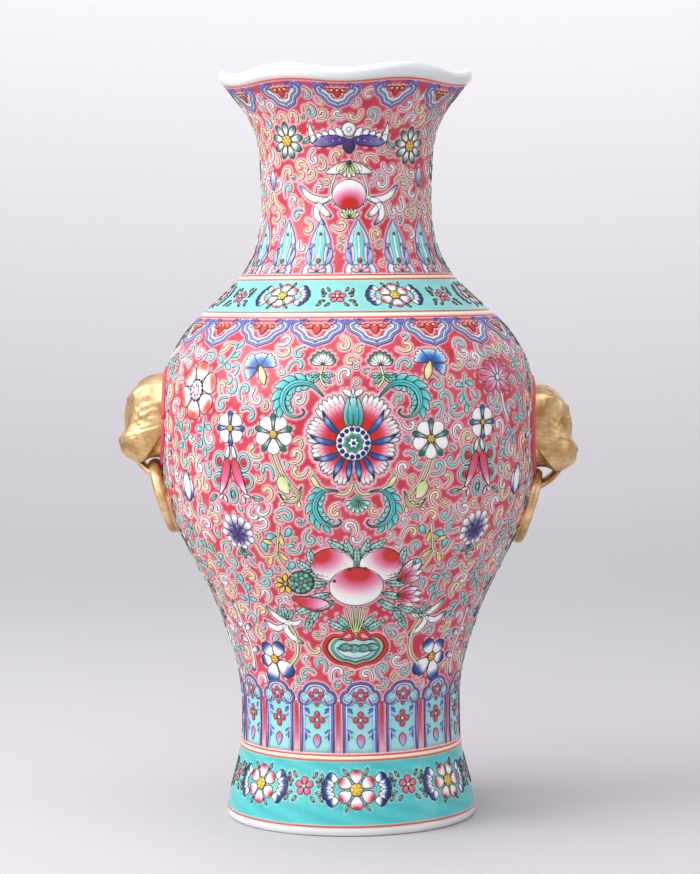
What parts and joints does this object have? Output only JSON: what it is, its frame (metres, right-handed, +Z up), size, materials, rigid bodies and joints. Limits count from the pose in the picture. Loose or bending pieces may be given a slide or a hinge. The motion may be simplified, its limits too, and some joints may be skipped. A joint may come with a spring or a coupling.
{
  "type": "porcelain vase",
  "caption": "Tall baluster vase with a lobed flared lip, flared foot, rose enamel ground and gilt lion-mask ring handles.",
  "frame": {"origin": "centre of the footprint, on the plane that the foot stands on", "axes": "+Z up along the vase's axis, the two masks on +X and -X, the painted front towards -Y"},
  "size_m": [0.287, 0.2312, 0.46],
  "materials": {
    "white_glaze": "clear glaze over white porcelain",
    "rose_enamel": "glossy opaque rose enamel, mottled",
    "turquoise_enamel": "glossy opaque turquoise enamel",
    "painted_enamels": "raised painted enamels in many colours",
    "gilding": "brushed-on matt gold over porcelain, burnished on the high spots"
  },
  "bodies": {
    "root": {"foot": "turquoise_enamel", "base_floor": "white_glaze", "lower_body": "rose_enamel", "upper_body": "rose_enamel", "neck": "rose_enamel", "mouth": "white_glaze", "mask_left": "gilding", "mask_right": "gilding", "jaw_left": "gilding", "jaw_right": "gilding", "ring_left": "gilding", "ring_right": "gilding"}
  },
  "joints": []
}
